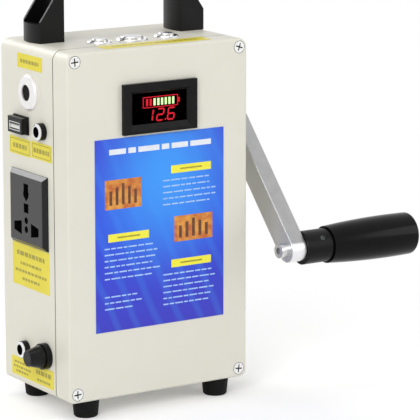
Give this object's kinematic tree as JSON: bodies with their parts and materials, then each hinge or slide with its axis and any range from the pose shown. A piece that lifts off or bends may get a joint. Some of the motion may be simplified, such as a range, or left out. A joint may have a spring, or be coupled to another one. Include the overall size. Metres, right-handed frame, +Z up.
{
  "type": "hand crank generator",
  "caption": "Free-standing hand crank generator in an ivory plastic enclosure with a carry handle, push buttons, a voltmeter, sockets on one side and a geared crank on the other.",
  "frame": {"origin": "on the floor under the middle of the whole part's box, in the plane of the feet's undersides", "axes": "+Z up, +X to the crank side, -Y to the front with the voltmeter"},
  "size_m": [0.2304, 0.1133, 0.2515],
  "materials": {
    "ivory_plastic": "fine moulded texture",
    "gasket_rubber": "matt",
    "screw_steel": "zinc plated",
    "handle_plastic": "moulded",
    "foot_rubber": "matt",
    "bezel_plastic": "moulded",
    "window_plastic": "clear",
    "display_plastic": "dark display",
    "panel_film": "printed film",
    "sticker_film": "printed film",
    "top_film": "printed film",
    "trim_chrome": "polished",
    "lens_glass": "dark tinted",
    "socket_plastic": "moulded",
    "tongue_plastic": "moulded",
    "pin_brass": "plated",
    "outlet_plastic": "moulded",
    "button_steel": "satin",
    "cell_wrap": "shrink wrap",
    "tray_plastic": "moulded",
    "board_laminate": "coated board",
    "transformer_iron": "varnished",
    "sink_aluminium": "extruded",
    "plate_aluminium": "milled",
    "gear_steel": "cut teeth",
    "shaft_steel": "ground",
    "bush_bronze": "sintered",
    "generator_steel": "coated",
    "winding_copper": "enamelled",
    "magnet_ferrite": "sintered",
    "arm_aluminium": "satin bar",
    "collar_steel": "black oxide",
    "grip_plastic": "polished",
    "fuse_plastic": "moulded",
    "fuse_glass": "glass tube"
  },
  "bodies": {
    "case": {"rear_case": "ivory_plastic", "front_lid": "ivory_plastic", "lid_gasket": "gasket_rubber", "lid_screws": "screw_steel", "carry_handle": "handle_plastic", "handle_fasteners": "screw_steel", "rubber_feet": "foot_rubber", "foot_screws": "screw_steel", "display_bezel": "bezel_plastic", "display_window": "window_plastic", "display_board": "display_plastic", "front_label": "panel_film", "side_labels": "sticker_film", "top_label": "top_film", "lamp_bezel": "trim_chrome", "lamp_lens": "lens_glass", "usb_housing": "socket_plastic", "usb_tongue": "tongue_plastic", "jack_bodies": "socket_plastic", "jack_rings": "trim_chrome", "jack_pins": "pin_brass", "panel_nuts": "screw_steel", "ac_socket_face": "outlet_plastic", "ac_socket_housing": "socket_plastic", "ac_contacts": "pin_brass", "fuse_holder_body": "fuse_plastic", "small_button_barrels": "trim_chrome", "main_button_barrel": "trim_chrome", "button_nuts": "screw_steel", "battery_holder": "tray_plastic", "battery_cells": "cell_wrap", "inverter_board": "board_laminate", "inverter_transformer": "transformer_iron", "heat_sink": "sink_aluminium", "gearbox_outer_plate": "plate_aluminium", "gearbox_inner_plate": "plate_aluminium", "gearbox_posts": "plate_aluminium", "gearbox_screws": "screw_steel", "shaft_bushings": "bush_bronze", "generator_can": "generator_steel", "generator_end_cap": "generator_steel", "generator_bearings": "shaft_steel", "stator_coils": "winding_copper"},
    "crank": {"crank_shaft": "shaft_steel", "drive_gear": "gear_steel", "crank_arm": "arm_aluminium", "arm_screw": "screw_steel", "grip_collar": "collar_steel", "spindle_screw": "collar_steel"},
    "grip": {"grip_sleeve": "grip_plastic"},
    "idler": {"idler_shaft": "shaft_steel", "idler_gears": "gear_steel"},
    "rotor": {"rotor_shaft": "shaft_steel", "rotor_magnet": "magnet_ferrite", "rotor_pinion": "gear_steel"},
    "left_button": {"left_button_cap": "button_steel"},
    "main_button": {"main_button_cap": "button_steel"},
    "right_button": {"right_button_cap": "button_steel"},
    "fuse": {"fuse_link": "fuse_glass"},
    "fuse_knob": {"fuse_cap": "fuse_plastic"}
  },
  "joints": [
    {"name": "crank_turn", "type": "hinge", "parent": "case", "child": "crank", "pos_m": [-0.04265, 0.02399, 0.163], "axis": [1, 0, 0], "continuous": true},
    {"name": "grip_spin", "type": "hinge", "parent": "crank", "child": "grip", "pos_m": [-0.04265, -0.04409, 0.08975], "axis": [1, 0, 0], "continuous": true},
    {"name": "idler_spin", "type": "hinge", "parent": "case", "child": "idler", "pos_m": [-0.04265, 0.02399, 0.128], "axis": [1, 0, 0], "continuous": true},
    {"name": "rotor_spin", "type": "hinge", "parent": "case", "child": "rotor", "pos_m": [-0.04265, 0.02399, 0.102], "axis": [1, 0, 0], "continuous": true},
    {"name": "left_button_press", "type": "slide", "parent": "case", "child": "left_button", "axis": [0, 0, -1], "range_m": [0, 0.0015], "stiffness_N_per_m": 1000, "springref_m": -0.0015},
    {"name": "main_button_press", "type": "slide", "parent": "case", "child": "main_button", "axis": [0, 0, -1], "range_m": [0, 0.0015], "stiffness_N_per_m": 1000, "springref_m": -0.0015},
    {"name": "right_button_press", "type": "slide", "parent": "case", "child": "right_button", "axis": [0, 0, -1], "range_m": [0, 0.0015], "stiffness_N_per_m": 1000, "springref_m": -0.0015},
    {"name": "fuse_pull", "type": "slide", "parent": "case", "child": "fuse", "axis": [-1, 0, 0], "range_m": [0, 0.03]},
    {"name": "fuse_knob_turn", "type": "hinge", "parent": "fuse", "child": "fuse_knob", "pos_m": [-0.10265, 0.00799, 0.0337], "axis": [-1, 0, 0], "range_deg": [0, 90]}
  ],
  "couplings": [
    {"joint": "idler_spin", "follows": "crank_turn", "ratio": -3},
    {"joint": "rotor_spin", "follows": "crank_turn", "ratio": 10}
  ]
}
